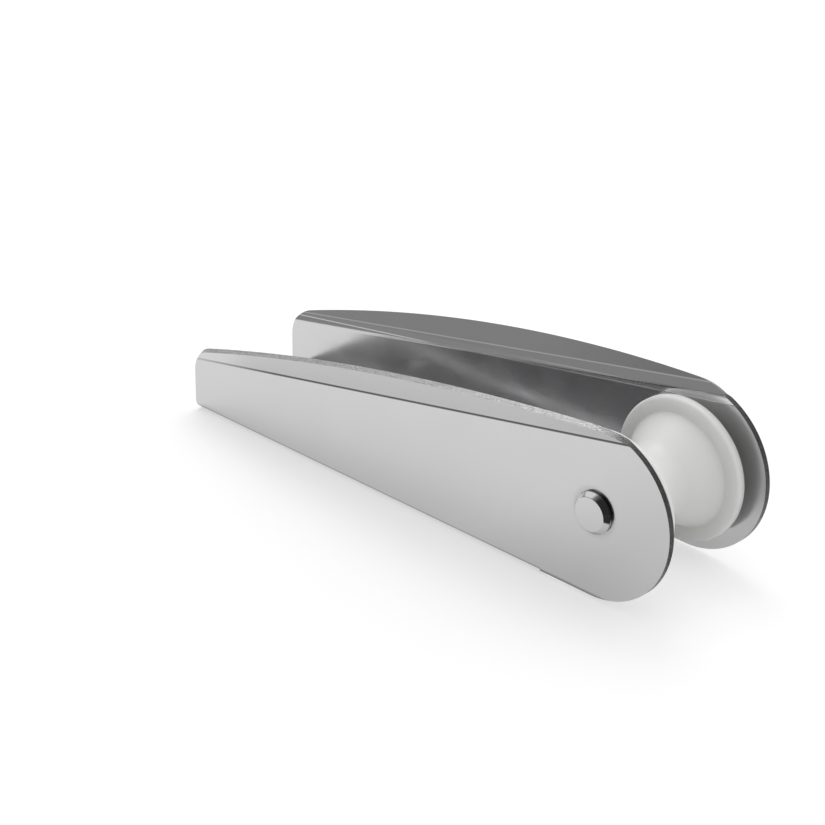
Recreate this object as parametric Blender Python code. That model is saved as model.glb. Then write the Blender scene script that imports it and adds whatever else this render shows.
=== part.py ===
"""Bow roller: a folded steel channel with a turned nylon roller on a clevis pin.

Frame: metres, +X forward over the roller, +Y to port, +Z up. The origin is on the underside of
the channel floor, in the middle of its four bolt holes. The channel is drawn as a flat blank, cut
along its bend lines, folded up and given its thickness. Everything round is a turned profile on
the roller's axle, and the split pin is a bent wire.
"""
import math

import bmesh
import bpy
from mathutils import Matrix, Vector

MM = 0.001

# Channel: sheet, floor and bends
SHEET = 3.0 * MM
INSIDE_WIDTH = 65.0 * MM
FLOOR_LENGTH = 238.0 * MM
FLOOR_BEND_RADIUS = 2.5 * MM
RELIEF_SLIT = 0.5 * MM
EDGE_ROUNDING = 0.25 * MM

# Channel: outline of a cheek, as it lies in the flat sheet
AXLE_OVERHANG = 30.0 * MM
AXLE_HEIGHT = 44.0 * MM
NOSE_RADIUS = 42.0 * MM
TOP_ARC_RADIUS = 965.0 * MM
AFT_TOP_HEIGHT = 34.0 * MM
AFT_CORNER_RADIUS = 17.0 * MM

# Channel: the outward lip along the top of each cheek
CREASE_BELOW_NOSE = 6.8 * MM
CREASE_AFT_HEIGHT = 28.7 * MM
CREASE_RADIUS = 2.0 * MM
LIP_LEAN = math.radians(26.0)
SHARP_EDGE_ANGLE = math.radians(60.0)

# Channel: bolt holes in the floor
BOLT_HOLE_RADIUS = 4.25 * MM
BOLT_SPACING_ALONG = 150.0 * MM
BOLT_SPACING_ACROSS = 34.0 * MM

# Roller
ROLLER_RADIUS = 35.0 * MM
ROLLER_WIDTH = 53.0 * MM
RIM_WIDTH = 4.3 * MM
RIM_OUTER_ROUNDING = 0.4 * MM
RIM_INNER_ROUNDING = 1.6 * MM
FLANGE_STEP_RADIUS = 27.8 * MM
FLANGE_DRAFT = 0.3 * MM
CONE_ANGLE = math.radians(30.0)
GROOVE_ROOT_RADIUS = 17.5 * MM
BORE_CHAMFER = 0.6 * MM

# Axle pin with its washer and split pin
AXLE_RADIUS = 7.0 * MM
HEAD_RADIUS = 10.2 * MM
HEAD_HEIGHT = 3.4 * MM
HEAD_CHAMFER = 2.1 * MM
PIN_END_LENGTH = 6.0 * MM
PIN_END_CHAMFER = 1.5 * MM
WASHER_RADIUS = 12.0 * MM
WASHER_THICKNESS = 2.2 * MM
WASHER_CHAMFER = 0.3 * MM
WIRE_RADIUS = 0.85 * MM
WIRE_GAP = 0.2 * MM
EYE_RADIUS = 2.7 * MM
LEG_BEND_RADIUS = 3.0 * MM
LEG_BEND_ANGLE = math.radians(55.0)
LEG_END_LENGTH = 5.0 * MM

# Bushes and thrust washers beside the roller
BUSH_WALL = 2.2 * MM
BUSH_LENGTH = 20.0 * MM
BUSH_FLANGE_RADIUS = 13.5 * MM
BUSH_FLANGE_THICKNESS = 2.8 * MM
BUSH_CHAMFER = 0.3 * MM

# Clearance between pieces that touch or fit into each other
FIT = 0.3 * MM

# Facets of round shapes
ROUND_STEPS = 48
BEND_STEPS = 4
WIRE_ROUNDNESS = 2
NOSE_STEP = math.radians(6.0)
TOP_ARC_STEP = math.radians(1.0)
CORNER_STEP = math.radians(15.0)
GROOVE_STEP = math.radians(5.0)
WIRE_STEP = math.radians(18.0)
ROUNDING_STEPS = 3
SMOOTH_ANGLE = math.radians(25.0)

# Cutters: a through cutter is this many times as long as what it goes through
THROUGH = 4.0

# Distances and shares below these are rounding errors
SAME_PLACE = 1e-7
SAME_SHARE = 1e-6

# Places worked out from the sizes above
FLOOR_FRONT = FLOOR_LENGTH / 2
AFT = -FLOOR_LENGTH / 2
AXLE_X = FLOOR_FRONT + AXLE_OVERHANG
AXLE = Vector((AXLE_X, 0.0, AXLE_HEIGHT))
INSIDE_HALF = INSIDE_WIDTH / 2
OUTSIDE_HALF = INSIDE_HALF + SHEET
SHEET_MIDDLE = INSIDE_HALF + SHEET / 2
BEND_TOP = SHEET + FLOOR_BEND_RADIUS
FLOOR_HALF_FLAT = INSIDE_HALF - FLOOR_BEND_RADIUS
FLOOR_MID_RADIUS = FLOOR_BEND_RADIUS + SHEET / 2
FLOOR_BEND_LENGTH = FLOOR_MID_RADIUS * math.pi / 2
CREASE_MID_RADIUS = CREASE_RADIUS + SHEET / 2
CREASE_BEND_LENGTH = CREASE_MID_RADIUS * LIP_LEAN
CREASE_AXLE_HEIGHT = AXLE_HEIGHT + NOSE_RADIUS - CREASE_BELOW_NOSE
CREASE_SLOPE = math.atan2(CREASE_AXLE_HEIGHT - CREASE_AFT_HEIGHT, AXLE_X - AFT)
ROLLER_HALF = ROLLER_WIDTH / 2
HOLE_RADIUS = AXLE_RADIUS + FIT
BORE_RADIUS = AXLE_RADIUS + FIT + BUSH_WALL + FIT
THRUST_THICKNESS = INSIDE_HALF - ROLLER_HALF - 3 * FIT - BUSH_FLANGE_THICKNESS
WIRE_OFFSET = WIRE_RADIUS + WIRE_GAP / 2
CROSS_HOLE_RADIUS = WIRE_OFFSET + WIRE_RADIUS + FIT
CROSS_HOLE_Y = OUTSIDE_HALF + FIT + WASHER_THICKNESS + FIT + CROSS_HOLE_RADIUS
PIN_END_Y = CROSS_HOLE_Y + PIN_END_LENGTH


def clear_scene():
    """Remove every object, so that the script starts from nothing."""
    for item in list(bpy.data.objects):
        bpy.data.objects.remove(item, do_unlink=True)


def make_material(name, colour, roughness, metallic):
    """A Principled material with one colour, roughness and metallic value."""
    material = bpy.data.materials.new(name)
    material.use_nodes = True
    shader = material.node_tree.nodes["Principled BSDF"]
    shader.inputs["Base Color"].default_value = (*colour, 1.0)
    shader.inputs["Roughness"].default_value = roughness
    shader.inputs["Metallic"].default_value = metallic
    return material


def steel_sheet():
    return make_material("polished_sheet_steel", (0.62, 0.62, 0.61), 0.18, 1.0)


def turned_steel():
    return make_material("turned_steel", (0.66, 0.66, 0.65), 0.12, 1.0)


def washer_steel():
    return make_material("washer_steel", (0.58, 0.58, 0.57), 0.3, 1.0)


def wire_steel():
    return make_material("wire_steel", (0.55, 0.55, 0.54), 0.25, 1.0)


def white_nylon():
    return make_material("white_nylon", (0.82, 0.82, 0.80), 0.42, 0.0)


def bush_plastic():
    return make_material("bush_plastic", (0.70, 0.68, 0.62), 0.4, 0.0)


def thrust_plastic():
    return make_material("thrust_plastic", (0.78, 0.78, 0.76), 0.45, 0.0)


def add_object(name, mesh, material, location=(0, 0, 0), parent=None):
    """Link a mesh or curve as an object, at its place or at its parent's origin."""
    item = bpy.data.objects.new(name, mesh)
    bpy.context.collection.objects.link(item)
    item.location = location
    item.parent = parent
    if material is not None:
        mesh.materials.append(material)
    return item


def smooth_mesh(mesh):
    """Shade the round surfaces smooth and keep the real edges sharp."""
    mesh.shade_smooth()
    mesh.set_sharp_from_angle(angle=SMOOTH_ANGLE)


def arc(centre, radius, start, end, step):
    """Points on an arc about a centre, in even steps that are no longer than the one given."""
    count = max(1, math.ceil(abs(end - start) / step - SAME_SHARE))
    points = []
    for index in range(count + 1):
        angle = start + (end - start) * index / count
        points.append((centre[0] + radius * math.cos(angle), centre[1] + radius * math.sin(angle)))
    return points


# Channel

def top_arc_centre():
    """Centre of the long top arc: it touches the nose circle and ends at the aft top height."""
    reach = TOP_ARC_RADIUS - NOSE_RADIUS
    dx = AFT - AXLE_X
    dz = AFT_TOP_HEIGHT - AXLE_HEIGHT
    gap = math.hypot(dx, dz)
    along = (reach ** 2 - TOP_ARC_RADIUS ** 2 + gap ** 2) / (2 * gap)
    aside = math.sqrt(reach ** 2 - along ** 2)
    return (AXLE_X + (along * dx - aside * dz) / gap, AXLE_HEIGHT + (along * dz + aside * dx) / gap)


def cheek_outline():
    """Edge of one cheek in its flat sheet, from the relief slit round the nose to the aft edge."""
    low = AXLE_HEIGHT - NOSE_RADIUS
    big = top_arc_centre()
    nose = (AXLE_X, AXLE_HEIGHT)
    tangent = math.atan2(nose[1] - big[1], nose[0] - big[0])
    corner_x = AFT + AFT_CORNER_RADIUS
    corner_reach = TOP_ARC_RADIUS - AFT_CORNER_RADIUS
    corner = (corner_x, big[1] + math.sqrt(corner_reach ** 2 - (corner_x - big[0]) ** 2))
    corner_start = math.atan2(corner[1] - big[1], corner[0] - big[0])
    slit = FLOOR_FRONT + RELIEF_SLIT
    points = [(FLOOR_FRONT, BEND_TOP), (slit, BEND_TOP), (slit, low)]
    points += arc(nose, NOSE_RADIUS, -math.pi / 2, tangent, NOSE_STEP)
    points += arc(big, TOP_ARC_RADIUS, tangent, corner_start, TOP_ARC_STEP)[1:]
    points += arc(corner, AFT_CORNER_RADIUS, corner_start, math.pi, CORNER_STEP)[1:]
    return points


def across_blank(height):
    """Distance from the blank's middle line to a height on the folded cheek."""
    return height - BEND_TOP + FLOOR_HALF_FLAT + FLOOR_BEND_LENGTH


def bend(distance, radius, angle):
    """Turn a distance along the sheet from the start of a bend into a step ahead and a step aside."""
    length = radius * angle
    steps = BEND_STEPS
    place = min(distance / length, 1.0) * steps
    whole = min(int(place + SAME_SHARE), steps - 1)
    part = place - whole
    before = angle * whole / steps
    after = angle * (whole + 1) / steps
    ahead = radius * ((1 - part) * math.sin(before) + part * math.sin(after))
    aside = radius * (1 - (1 - part) * math.cos(before) - part * math.cos(after))
    rest = max(distance - length, 0.0)
    return ahead + rest * math.cos(angle), aside + rest * math.sin(angle)


def crease_height(x):
    """Height at which the lip starts to lean out, at a place along the cheek."""
    return CREASE_AFT_HEIGHT + (x - AFT) * math.tan(CREASE_SLOPE)


def fold_point(x, v):
    """Place in the folded channel of a point of the flat blank."""
    side = 1.0 if v >= 0 else -1.0
    height = abs(v) - FLOOR_HALF_FLAT - FLOOR_BEND_LENGTH + BEND_TOP
    if x <= FLOOR_FRONT + RELIEF_SLIT / 2 and height < BEND_TOP:
        past = abs(v) - FLOOR_HALF_FLAT
        if past <= 0:
            return Vector((x, v, SHEET / 2))
        ahead, aside = bend(past, FLOOR_MID_RADIUS, math.pi / 2)
        return Vector((x, side * (FLOOR_HALF_FLAT + ahead), SHEET / 2 + aside))
    above = (height - crease_height(x)) * math.cos(CREASE_SLOPE)
    if above <= 0:
        return Vector((x, side * SHEET_MIDDLE, height))
    ahead, aside = bend(above, CREASE_MID_RADIUS, LIP_LEAN)
    foot_x = x + above * math.sin(CREASE_SLOPE)
    foot_z = height - above * math.cos(CREASE_SLOPE)
    return Vector((
        foot_x - ahead * math.sin(CREASE_SLOPE),
        side * (SHEET_MIDDLE + aside),
        foot_z + ahead * math.cos(CREASE_SLOPE),
    ))


def cut_line(mesh, point, direction):
    """Cut the flat blank along a straight line, so that it can bend there."""
    normal = Vector((-direction[1], direction[0], 0.0))
    parts = mesh.verts[:] + mesh.edges[:] + mesh.faces[:]
    place = Vector((*point, 0.0))
    bmesh.ops.bisect_plane(mesh, geom=parts, plane_co=place, plane_no=normal, dist=SAME_PLACE)


def folded_sheet():
    """The channel's middle surface: outline the blank, cut its bend lines and fold it."""
    half = [(x, across_blank(height)) for x, height in cheek_outline()]
    outline = half + [(x, -v) for x, v in reversed(half)]
    mesh = bmesh.new()
    corners = [mesh.verts.new((x, v, 0.0)) for x, v in outline]
    mesh.faces.new(corners)
    for side in (1.0, -1.0):
        for index in range(BEND_STEPS + 1):
            share = index / BEND_STEPS
            cut_line(mesh, (0.0, side * (FLOOR_HALF_FLAT + FLOOR_BEND_LENGTH * share)), (1.0, 0.0))
            rise = CREASE_BEND_LENGTH * share / math.cos(CREASE_SLOPE)
            start = across_blank(CREASE_AFT_HEIGHT + rise)
            cut_line(mesh, (AFT, side * start), (math.cos(CREASE_SLOPE), side * math.sin(CREASE_SLOPE)))
    for corner in mesh.verts:
        corner.co = fold_point(corner.co.x, corner.co.y)
    bmesh.ops.recalc_face_normals(mesh, faces=mesh.faces)
    return mesh


def cylinder_cutter(name, radius, length, location, axis):
    """A round cutter along an axis, hidden from the finished part."""
    mesh = bmesh.new()
    bmesh.ops.create_cone(
        mesh, cap_ends=True, segments=ROUND_STEPS, radius1=radius, radius2=radius, depth=length,
        matrix=Vector((0, 0, 1)).rotation_difference(Vector(axis)).to_matrix().to_4x4())
    data = bpy.data.meshes.new(name)
    mesh.to_mesh(data)
    mesh.free()
    cutter = add_object(name, data, None, location)
    cutter.hide_render = True
    cutter.display_type = "WIRE"
    return cutter


def cut_away(item, cutter):
    """Subtract a cutter from an object."""
    step = item.modifiers.new(cutter.name, "BOOLEAN")
    step.operation = "DIFFERENCE"
    step.solver = "EXACT"
    step.object = cutter


def build_channel(material):
    """Floor, cheeks and lips in one folded sheet, with the axle holes and the bolt holes."""
    mesh = folded_sheet()
    data = bpy.data.meshes.new("channel")
    mesh.to_mesh(data)
    mesh.free()
    channel = add_object("channel", data, material)
    thickness = channel.modifiers.new("thickness", "SOLIDIFY")
    thickness.thickness = SHEET
    thickness.offset = 0.0
    thickness.use_even_offset = True
    edges = channel.modifiers.new("deburred_edges", "BEVEL")
    edges.width = EDGE_ROUNDING
    edges.segments = 1
    edges.limit_method = "ANGLE"
    edges.angle_limit = SHARP_EDGE_ANGLE
    reach = THROUGH * OUTSIDE_HALF
    cut_away(channel, cylinder_cutter("axle_hole_cutter", HOLE_RADIUS, reach, AXLE, (0, 1, 0)))
    for along in (-1, 1):
        for across in (-1, 1):
            place = (along * BOLT_SPACING_ALONG / 2, across * BOLT_SPACING_ACROSS / 2, 0.0)
            reach = THROUGH * SHEET
            cutter = cylinder_cutter("bolt_hole_cutter", BOLT_HOLE_RADIUS, reach, place, (0, 0, 1))
            cut_away(channel, cutter)
    return channel


# Turned pieces

def turned_mesh(name, profile):
    """Turn a closed profile of (radius, distance along Y) points about the Y axis."""
    mesh = bmesh.new()
    rings = []
    for step in range(ROUND_STEPS):
        turn = Matrix.Rotation(2 * math.pi * step / ROUND_STEPS, 4, "Y")
        ring = [mesh.verts.new(turn @ Vector((radius, along, 0.0))) for radius, along in profile]
        rings.append(ring)
    count = len(profile)
    for step, ring in enumerate(rings):
        following = rings[(step + 1) % ROUND_STEPS]
        for index in range(count):
            after = (index + 1) % count
            corners = [ring[index], ring[after], following[after], following[index]]
            mesh.faces.new(corners)
    bmesh.ops.remove_doubles(mesh, verts=mesh.verts, dist=SAME_PLACE)
    bmesh.ops.recalc_face_normals(mesh, faces=mesh.faces)
    data = bpy.data.meshes.new(name)
    mesh.to_mesh(data)
    mesh.free()
    smooth_mesh(data)
    return data


def roller_profile():
    """Section of the roller: bore, flat end, rounded rim, flange step, cone and saddle."""
    rim_inner = ROLLER_HALF - RIM_WIDTH
    step_along = rim_inner - FLANGE_DRAFT
    quarter = math.pi / 2
    ease = quarter / ROUNDING_STEPS
    outer_centre = (ROLLER_RADIUS - RIM_OUTER_ROUNDING, ROLLER_HALF - RIM_OUTER_ROUNDING)
    inner_centre = (ROLLER_RADIUS - RIM_INNER_ROUNDING, rim_inner + RIM_INNER_ROUNDING)
    outer_round = arc(outer_centre, RIM_OUTER_ROUNDING, quarter, 0, ease)
    inner_round = arc(inner_centre, RIM_INNER_ROUNDING, 0, -quarter, ease)
    drop = FLANGE_STEP_RADIUS - math.tan(CONE_ANGLE) * step_along - GROOVE_ROOT_RADIUS
    saddle = drop / (1 - math.cos(CONE_ANGLE) - math.tan(CONE_ANGLE) * math.sin(CONE_ANGLE))
    centre = (GROOVE_ROOT_RADIUS + saddle, 0.0)
    half = [(BORE_RADIUS, ROLLER_HALF - BORE_CHAMFER), (BORE_RADIUS + BORE_CHAMFER, ROLLER_HALF)]
    half += outer_round + inner_round + [(FLANGE_STEP_RADIUS, step_along)]
    half += arc(centre, saddle, math.pi - CONE_ANGLE, math.pi, GROOVE_STEP)[:-1]
    low = [(radius, -along) for radius, along in reversed(half)]
    return half + [(GROOVE_ROOT_RADIUS, 0.0)] + low


def build_roller(material, parent):
    return add_object("roller", turned_mesh("roller", roller_profile()), material, parent=parent)


def bush_profile(side):
    """Section of a flanged bush: its sleeve is in the roller's bore, its flange is on the end."""
    inner = AXLE_RADIUS + FIT
    sleeve = inner + BUSH_WALL
    face = ROLLER_HALF + FIT
    end = face + BUSH_FLANGE_THICKNESS
    start = ROLLER_HALF - BUSH_LENGTH
    points = [
        (inner, start),
        (sleeve - BUSH_CHAMFER, start),
        (sleeve, start + BUSH_CHAMFER),
        (sleeve, face),
        (BUSH_FLANGE_RADIUS - BUSH_CHAMFER, face),
        (BUSH_FLANGE_RADIUS, face + BUSH_CHAMFER),
        (BUSH_FLANGE_RADIUS, end - BUSH_CHAMFER),
        (BUSH_FLANGE_RADIUS - BUSH_CHAMFER, end),
        (inner, end),
    ]
    return [(radius, side * along) for radius, along in points]


def build_bush(name, side, material, parent):
    return add_object(name, turned_mesh(name, bush_profile(side)), material, parent=parent)


def ring_profile(inner, outer, start, thickness, chamfer, side):
    """Section of a plain washer whose near face is at start."""
    end = start + thickness
    points = [
        (inner, start),
        (outer - chamfer, start),
        (outer, start + chamfer),
        (outer, end - chamfer),
        (outer - chamfer, end),
        (inner, end),
    ]
    return [(radius, side * along) for radius, along in points]


def build_thrust_washer(name, side, material, parent):
    """Thin washer between a bush's flange and the cheek."""
    inner = AXLE_RADIUS + FIT
    start = INSIDE_HALF - FIT - THRUST_THICKNESS
    profile = ring_profile(inner, BUSH_FLANGE_RADIUS, start, THRUST_THICKNESS, BUSH_CHAMFER, side)
    return add_object(name, turned_mesh(name, profile), material, parent=parent)


def build_axle_pin(material, parent):
    """Clevis pin: smooth chamfered head to starboard, cross hole and chamfered end to port."""
    seat = -(OUTSIDE_HALF + FIT)
    face = seat - HEAD_HEIGHT
    profile = [
        (0.0, face),
        (HEAD_RADIUS - HEAD_CHAMFER, face),
        (HEAD_RADIUS, face + HEAD_CHAMFER),
        (HEAD_RADIUS, seat),
        (AXLE_RADIUS, seat),
        (AXLE_RADIUS, PIN_END_Y - PIN_END_CHAMFER),
        (AXLE_RADIUS - PIN_END_CHAMFER, PIN_END_Y),
        (0.0, PIN_END_Y),
    ]
    pin = add_object("axle_pin", solid_turned_mesh("axle_pin", profile), material, parent=parent)
    place = AXLE + Vector((0.0, CROSS_HOLE_Y, 0.0))
    reach = THROUGH * AXLE_RADIUS
    cut_away(pin, cylinder_cutter("cross_hole_cutter", CROSS_HOLE_RADIUS, reach, place, (0, 0, 1)))
    return pin


def solid_turned_mesh(name, profile):
    """Turn an open profile that starts and ends on the Y axis."""
    mesh = bmesh.new()
    first = mesh.verts.new((0.0, profile[0][1], 0.0))
    last = mesh.verts.new((0.0, profile[-1][1], 0.0))
    rings = []
    for step in range(ROUND_STEPS):
        turn = Matrix.Rotation(2 * math.pi * step / ROUND_STEPS, 4, "Y")
        ring = [mesh.verts.new(turn @ Vector((radius, along, 0.0))) for radius, along in profile[1:-1]]
        rings.append(ring)
    for step, ring in enumerate(rings):
        following = rings[(step + 1) % ROUND_STEPS]
        mesh.faces.new((first, ring[0], following[0]))
        mesh.faces.new((last, following[-1], ring[-1]))
        for index in range(len(ring) - 1):
            mesh.faces.new((ring[index], ring[index + 1], following[index + 1], following[index]))
    bmesh.ops.recalc_face_normals(mesh, faces=mesh.faces)
    data = bpy.data.meshes.new(name)
    mesh.to_mesh(data)
    mesh.free()
    smooth_mesh(data)
    return data


def build_pin_washer(material, parent):
    """Plain washer between the port cheek and the split pin."""
    start = OUTSIDE_HALF + FIT
    profile = ring_profile(AXLE_RADIUS + FIT, WASHER_RADIUS, start, WASHER_THICKNESS, WASHER_CHAMFER, 1)
    return add_object("pin_washer", turned_mesh("pin_washer", profile), material, parent=parent)


def split_pin_path():
    """Middle line of half the bent wire, from the end of a leg up to the top of the eye."""
    bend_height = -(AXLE_RADIUS + FIT)
    turn_centre = (WIRE_OFFSET + LEG_BEND_RADIUS, bend_height)
    curl = arc(turn_centre, LEG_BEND_RADIUS, math.pi + LEG_BEND_ANGLE, math.pi, WIRE_STEP)
    tip = (
        curl[0][0] + LEG_END_LENGTH * math.sin(LEG_BEND_ANGLE),
        curl[0][1] - LEG_END_LENGTH * math.cos(LEG_BEND_ANGLE),
    )
    opening = math.asin(WIRE_OFFSET / EYE_RADIUS)
    eye_height = AXLE_RADIUS + FIT + EYE_RADIUS * math.cos(opening) + WIRE_RADIUS
    eye = arc((0.0, eye_height), EYE_RADIUS, opening - math.pi / 2, math.pi / 2, WIRE_STEP)
    return [tip] + curl + eye


def build_split_pin(material, parent):
    """Wire bent double: an eye above the axle pin and two legs spread below it."""
    half = split_pin_path()
    points = half + [(-x, z) for x, z in reversed(half[:-1])]
    curve = bpy.data.curves.new("split_pin", "CURVE")
    curve.dimensions = "3D"
    curve.bevel_depth = WIRE_RADIUS
    curve.bevel_resolution = WIRE_ROUNDNESS
    curve.use_fill_caps = True
    spline = curve.splines.new("POLY")
    spline.points.add(len(points) - 1)
    for point, (x, z) in zip(spline.points, points):
        point.co = (x, CROSS_HOLE_Y, z, 1.0)
    return add_object("split_pin", curve, material, parent=parent)


def build_bow_roller():
    """Put the channel, the axle and the roller together."""
    clear_scene()
    build_channel(steel_sheet())
    axle = add_object("axle_line", None, None, AXLE)
    spin = add_object("roller_spin_axis", None, None, AXLE)
    build_roller(white_nylon(), spin)
    bush = bush_plastic()
    thrust = thrust_plastic()
    for name, side in (("port", 1), ("starboard", -1)):
        build_bush("bush_" + name, side, bush, spin)
        build_thrust_washer("thrust_washer_" + name, side, thrust, axle)
    build_axle_pin(turned_steel(), axle)
    build_pin_washer(washer_steel(), axle)
    build_split_pin(wire_steel(), axle)


build_bow_roller()
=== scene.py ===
"""Looks of the bow roller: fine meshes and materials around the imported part, camera and light.

Metres in the part's own frame: +X forward over the roller, +Y to port, +Z up.
"""
import math

import bmesh
import bpy
from mathutils import Matrix, Vector


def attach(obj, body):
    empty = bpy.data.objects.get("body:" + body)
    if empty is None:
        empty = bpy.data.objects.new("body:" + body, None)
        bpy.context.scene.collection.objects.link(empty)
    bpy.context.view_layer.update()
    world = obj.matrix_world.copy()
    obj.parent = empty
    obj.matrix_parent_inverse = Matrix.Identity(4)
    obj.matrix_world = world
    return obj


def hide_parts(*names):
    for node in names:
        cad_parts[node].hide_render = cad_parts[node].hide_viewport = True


MM = 0.001

# Sizes of the part
SHEET = 3.0 * MM
INSIDE_HALF = 32.5 * MM
FLOOR_HALF_LENGTH = 119.0 * MM
FLOOR_BEND_RADIUS = 2.5 * MM
RELIEF_SLIT = 0.12 * MM
AXLE_X = 149.0 * MM
AXLE_HEIGHT = 44.0 * MM
NOSE_RADIUS = 42.0 * MM
TOP_ARC_RADIUS = 965.0 * MM
AFT_TOP_HEIGHT = 34.0 * MM
AFT_CORNER_RADIUS = 17.0 * MM
CREASE_AXLE_HEIGHT = 79.2 * MM
CREASE_AFT_HEIGHT = 28.7 * MM
CREASE_RADIUS = 2.0 * MM
LIP_LEAN = math.radians(26.0)
BOLT_HOLE_RADIUS = 4.25 * MM
BOLT_HALF_ALONG = 75.0 * MM
BOLT_HALF_ACROSS = 17.0 * MM
ROLLER_RADIUS = 35.0 * MM
ROLLER_HALF = 26.5 * MM
RIM_WIDTH = 4.3 * MM
RIM_OUTER_ROUNDING = 0.4 * MM
RIM_INNER_ROUNDING = 1.6 * MM
FLANGE_STEP_RADIUS = 27.8 * MM
FLANGE_DRAFT = 0.3 * MM
STEP_ROUNDING = 0.5 * MM
CONE_ANGLE = math.radians(30.0)
GROOVE_ROOT_RADIUS = 17.5 * MM
BORE_RADIUS = 9.8 * MM
BORE_CHAMFER = 0.6 * MM
AXLE_RADIUS = 7.0 * MM
HEAD_RADIUS = 10.2 * MM
HEAD_HEIGHT = 3.4 * MM
HEAD_CHAMFER = 2.1 * MM
PIN_END_LENGTH = 6.0 * MM
PIN_END_CHAMFER = 1.5 * MM
WASHER_RADIUS = 12.0 * MM
WASHER_THICKNESS = 2.2 * MM
WIRE_RADIUS = 0.85 * MM
WIRE_GAP = 0.2 * MM
EYE_RADIUS = 2.7 * MM
LEG_BEND_RADIUS = 3.0 * MM
LEG_BEND_ANGLE = math.radians(55.0)
LEG_END_LENGTH = 5.0 * MM
BUSH_RADIUS = 9.5 * MM
BUSH_LENGTH = 20.0 * MM
BUSH_FLANGE_RADIUS = 13.5 * MM
BUSH_FLANGE_THICKNESS = 2.8 * MM
FIT = 0.3 * MM
SMALL_EDGE = 0.25 * MM

# Fineness of the round shapes
TURN_STEPS = 160
BEND_STEPS = 10
NOSE_STEP = math.radians(1.5)
TOP_ARC_STEP = math.radians(0.2)
CORNER_STEP = math.radians(4.0)
SECTION_STEP = math.radians(9.0)
SADDLE_STEP = math.radians(2.0)
WIRE_STEP = math.radians(6.0)
WIRE_ROUNDNESS = 8
SOFT_STEPS = 4
SHORT_SIDE_PARTS = 2.2
EDGE_SEGMENTS = 3
EDGE_ANGLE = math.radians(60.0)
FLAT_FACE_WEIGHT = 90
SMOOTH_ANGLE = math.radians(22.0)
SAME_PLACE = 1e-7
SAME_COUNT = 1e-6

# Places worked out from the sizes
AFT = -FLOOR_HALF_LENGTH
FLOOR_FRONT = FLOOR_HALF_LENGTH
AXLE = Vector((AXLE_X, 0.0, AXLE_HEIGHT))
OUTSIDE_HALF = INSIDE_HALF + SHEET
SHEET_MIDDLE = INSIDE_HALF + SHEET / 2
BEND_TOP = SHEET + FLOOR_BEND_RADIUS
FLOOR_HALF_FLAT = INSIDE_HALF - FLOOR_BEND_RADIUS
FLOOR_MID_RADIUS = FLOOR_BEND_RADIUS + SHEET / 2
FLOOR_BEND_LENGTH = FLOOR_MID_RADIUS * math.pi / 2
CREASE_MID_RADIUS = CREASE_RADIUS + SHEET / 2
CREASE_BEND_LENGTH = CREASE_MID_RADIUS * LIP_LEAN
CREASE_SLOPE = math.atan2(CREASE_AXLE_HEIGHT - CREASE_AFT_HEIGHT, AXLE_X - AFT)
HOLE_RADIUS = AXLE_RADIUS + FIT
WIRE_OFFSET = WIRE_RADIUS + WIRE_GAP / 2
CROSS_HOLE_RADIUS = WIRE_OFFSET + WIRE_RADIUS + FIT
CROSS_HOLE_Y = OUTSIDE_HALF + FIT + WASHER_THICKNESS + FIT + CROSS_HOLE_RADIUS
PIN_END_Y = CROSS_HOLE_Y + PIN_END_LENGTH

# Camera: worked out once from the photograph's edges
CAMERA_ANCHOR = AXLE
CAMERA_TURN = math.radians(44.08)
CAMERA_PITCH = math.radians(26.06)
CAMERA_ROLL = math.radians(0.95)
CAMERA_ASIDE = 104.54 * MM
CAMERA_ABOVE = -32.73 * MM
CAMERA_DISTANCE = 1038.63 * MM
CAMERA_LENS = 101.2
CAMERA_SENSOR = 36.0
CAMERA_NEAR = 0.01
CAMERA_FAR = 50.0

# Studio floor and light: levels at which 1 is white
STUDIO_FLOOR_HALF = 6.0
STUDIO_FLOOR_DROP = 0.2 * MM
FLOOR_ROUGHNESS = 0.9
FLOOR_COLOUR = (0.86, 0.86, 0.86)
FLOOR_SEEN_COLOUR = (0.55, 0.55, 0.55)
FLOOR_LIFT = 0.54
FLOOR_DIM_COLOUR = (0.03, 0.03, 0.03)
FLOOR_DIM_FROM_TO = (0.19, 0.205)
FLOOR_DIM_PORT_SHARE = 0.7
FLOOR_DIM_ACROSS = (-0.03, 0.03)
FLOOR_SLIGHT_DIM = 0.14
FLOOR_SLIGHT_FROM_TO = (0.07, 0.13)
FILL_WEAK = 0.17
FILL_STRONG = 0.97
FILL_SIDE = (0.5, 0.7, 0.5)
ROOM_LEVEL = 0.33
DARK_ROOM_LEVEL = 0.16
DARK_CORNER_SIDE = (0.7, -0.7, 0.1)
DARK_CORNER_SHARE = 0.2
SOFTBOX_SIDE = (-0.62, -0.12, 0.775)
BACKDROP_SIDE = (-0.7, 0.71, 0.0)
UP = (0.0, 0.0, 1.0)
FORWARD = (1.0, 0.0, 0.0)
KEY_PLACE = (-0.35, 0.25, 1.0)
KEY_AIM = (0.03, 0.0, 0.03)
KEY_SIZE = 0.7
KEY_POWER = 3.4

# Soft edges of the light's parts: how closely a direction points to a side, from and to
DARK_ROOM_EDGE = (-0.3, 0.2)
DARK_CORNER_EDGE = (0.3, 0.6)
SOFTBOX_EDGE = (0.80, 0.90)
BACKDROP_EDGE = (0.35, 0.70)
WALL_TOP_EDGE = (0.28, 0.42)

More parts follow.
